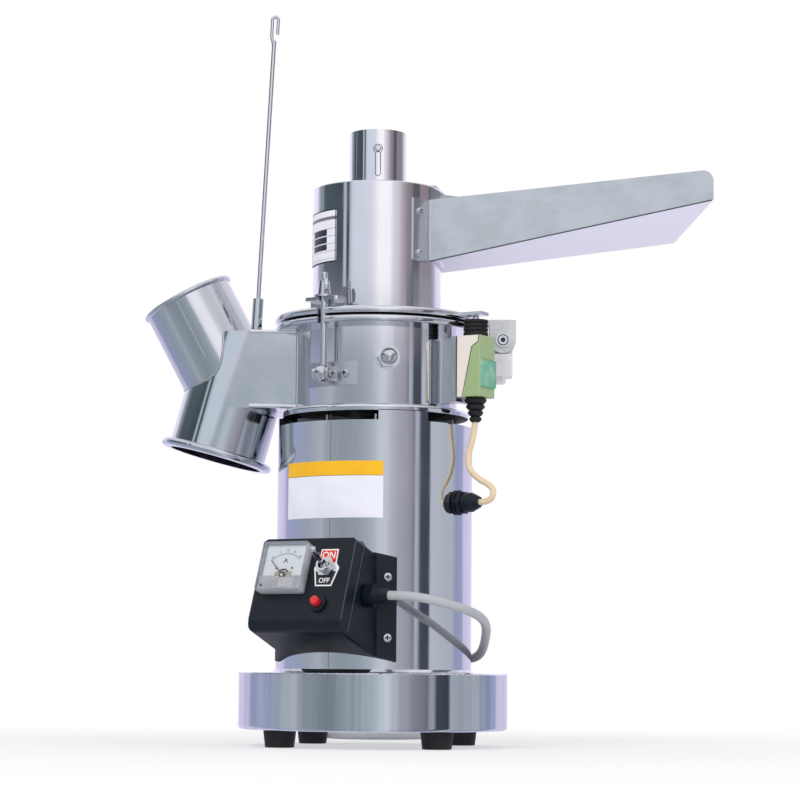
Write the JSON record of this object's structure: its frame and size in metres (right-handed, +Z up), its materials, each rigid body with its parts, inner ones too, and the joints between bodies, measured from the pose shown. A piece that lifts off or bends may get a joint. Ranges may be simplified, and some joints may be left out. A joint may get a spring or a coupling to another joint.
{
  "type": "analytical lab mill",
  "caption": "Swing-hammer laboratory mill on a round base, with a flared feed chute, a clamped lid, a forked outlet, a safety switch and a control box.",
  "frame": {"origin": "on the rotor's axis, on the plane that the rubber feet stand on", "axes": "+Z up along the rotor's axis, -Y towards the operator, +X towards the feed chute"},
  "size_m": [0.5049, 0.472, 0.664],
  "materials": {
    "polished_steel": "mirror-polished stainless",
    "satin_steel": "satin sheet",
    "bright_steel": "bright plated",
    "cast_aluminium": "satin machined",
    "zinc_grey": "light grey coated zinc",
    "green_plastic": "satin",
    "black_plastic": "satin moulded",
    "black_rubber": "matte",
    "clear_plastic": "clear",
    "dial_white": "printed",
    "needle_black": "matte",
    "red_plastic": "gloss",
    "cord_grey": "satin sheath",
    "cable_cream": "satin sheath",
    "motor_iron": "varnished laminations and copper",
    "hammer_steel": "hardened"
  },
  "bodies": {
    "frame": {"rubber_feet": "black_rubber", "foot_screws": "bright_steel", "base": "polished_steel", "motor_housing": "polished_steel", "stator": "motor_iron", "bearings": "bright_steel", "bearing_plate": "cast_aluminium", "shaft_seal": "black_rubber", "chamber": "polished_steel", "chamber_gasket": "black_rubber", "liner_ring": "hammer_steel", "sieve_screen": "satin_steel", "liner_stud": "bright_steel", "outlet_duct": "polished_steel", "upper_spout": "polished_steel", "lower_spout": "polished_steel", "bolt_brackets": "polished_steel", "pivot_pins": "bright_steel", "hinge_block": "cast_aluminium", "switch_bracket": "cast_aluminium", "switch_body": "zinc_grey", "switch_cover": "green_plastic", "switch_boots": "black_rubber", "interlock_cable": "cable_cream", "interlock_gland": "black_plastic", "box_shell": "black_plastic", "box_cover": "black_plastic", "meter_movement": "dial_white", "meter_lens": "clear_plastic", "toggle_bushing": "bright_steel", "reset_collar": "black_plastic", "mains_gland": "black_plastic", "mains_cord": "cord_grey", "mains_coil": "cord_grey", "mains_plug": "black_plastic", "pan_screws": "bright_steel"},
    "lid": {"lid_plate": "polished_steel", "hood": "polished_steel", "chute": "satin_steel", "hood_screws": "bright_steel", "hinge_ear": "cast_aluminium"},
    "rotor": {"motor_rotor": "motor_iron", "cooling_fan": "cast_aluminium", "hammer_disc": "hammer_steel", "hammer_pins": "bright_steel"},
    "bag_rod_body": {"bag_rod": "bright_steel"},
    "feed_sleeve_body": {"feed_sleeve": "polished_steel"},
    "hammer_1_body": {"hammer_1": "hammer_steel"},
    "hammer_2_body": {"hammer_2": "hammer_steel"},
    "hammer_3_body": {"hammer_3": "hammer_steel"},
    "meter_needle_body": {"meter_needle": "needle_black"},
    "reset_button_body": {"reset_button": "red_plastic"},
    "swing_bolt_front_body": {"swing_bolt_front": "bright_steel"},
    "swing_bolt_rear_body": {"swing_bolt_rear": "bright_steel"},
    "switch_plunger_body": {"switch_plunger": "bright_steel"},
    "toggle_lever_body": {"toggle_lever": "bright_steel"},
    "washer_front_body": {"washer_front": "bright_steel"},
    "washer_rear_body": {"washer_rear": "bright_steel"},
    "wing_nut_front_body": {"wing_nut_front": "bright_steel"},
    "wing_nut_rear_body": {"wing_nut_rear": "bright_steel"}
  },
  "joints": [
    {"name": "lid_hinge", "type": "hinge", "parent": "frame", "child": "lid", "pos_m": [0.1144, 0, 0.365], "axis": [0, 1, 0], "range_deg": [0, 90]},
    {"name": "sleeve_slide", "type": "slide", "parent": "lid", "child": "feed_sleeve_body", "axis": [0, 0, 1], "range_m": [0, 0.016]},
    {"name": "rotor_spin", "type": "hinge", "parent": "frame", "child": "rotor", "pos_m": [0, 0, 0.2], "axis": [0, 0, 1], "continuous": true},
    {"name": "bolt_swing_front", "type": "hinge", "parent": "frame", "child": "swing_bolt_front_body", "pos_m": [-0.04618, -0.07112, 0.326], "axis": [0.8387, -0.5446, 0], "range_deg": [0, 158]},
    {"name": "washer_lift_front", "type": "slide", "parent": "swing_bolt_front_body", "child": "washer_front_body", "axis": [0, 0, 1], "range_m": [0, 0.004]},
    {"name": "nut_turn_front", "type": "hinge", "parent": "washer_front_body", "child": "wing_nut_front_body", "pos_m": [-0.04618, -0.07112, 0.4], "axis": [0, 0, 1], "range_deg": [0, 1440]},
    {"name": "bolt_swing_rear", "type": "hinge", "parent": "frame", "child": "swing_bolt_rear_body", "pos_m": [0.04618, 0.07112, 0.326], "axis": [-0.8387, 0.5446, 0], "range_deg": [0, 158]},
    {"name": "washer_lift_rear", "type": "slide", "parent": "swing_bolt_rear_body", "child": "washer_rear_body", "axis": [0, 0, 1], "range_m": [0, 0.004]},
    {"name": "nut_turn_rear", "type": "hinge", "parent": "washer_rear_body", "child": "wing_nut_rear_body", "pos_m": [0.04618, 0.07112, 0.4], "axis": [0, 0, 1], "range_deg": [0, 1440]},
    {"name": "hammer_swing_1", "type": "hinge", "parent": "rotor", "child": "hammer_1_body", "pos_m": [0, -0.032, 0.322], "axis": [0, 0, 1], "range_deg": [-75, 75]},
    {"name": "hammer_swing_2", "type": "hinge", "parent": "rotor", "child": "hammer_2_body", "pos_m": [0.02771, 0.016, 0.322], "axis": [0, 0, 1], "range_deg": [-75, 75]},
    {"name": "hammer_swing_3", "type": "hinge", "parent": "rotor", "child": "hammer_3_body", "pos_m": [-0.02771, 0.016, 0.322], "axis": [0, 0, 1], "range_deg": [-75, 75]},
    {"name": "needle_swing", "type": "hinge", "parent": "frame", "child": "meter_needle_body", "pos_m": [-0.07893, -0.10131, 0.14796], "axis": [0.4698, 0.8138, -0.342], "range_deg": [0, 90]},
    {"name": "toggle_tilt", "type": "hinge", "parent": "frame", "child": "toggle_lever_body", "pos_m": [-0.04248, -0.11838, 0.15565], "axis": [0.866, -0.5, 0], "range_deg": [0, 27.2]},
    {"name": "reset_press", "type": "slide", "parent": "frame", "child": "reset_button_body", "axis": [0.4698, 0.8138, -0.342], "range_m": [0, 0.0025], "stiffness_N_per_m": 300, "springref_m": -0.002},
    {"name": "plunger_rise", "type": "slide", "parent": "frame", "child": "switch_plunger_body", "axis": [0, 0, 1], "range_m": [0, 0.0015]},
    {"name": "rod_lift", "type": "slide", "parent": "frame", "child": "bag_rod_body", "axis": [0.0466, 0, 0.9989], "range_m": [0, 0.03]}
  ],
  "couplings": [
    {"joint": "bolt_swing_front", "follows": "lid_hinge", "ratio": 1.75},
    {"joint": "washer_lift_front", "follows": "nut_turn_front", "m_per_rad": 0.00015915},
    {"joint": "bolt_swing_rear", "follows": "lid_hinge", "ratio": 1.75},
    {"joint": "washer_lift_rear", "follows": "nut_turn_rear", "m_per_rad": 0.00015915},
    {"joint": "plunger_rise", "follows": "lid_hinge", "m_per_rad": 0.000954}
  ]
}
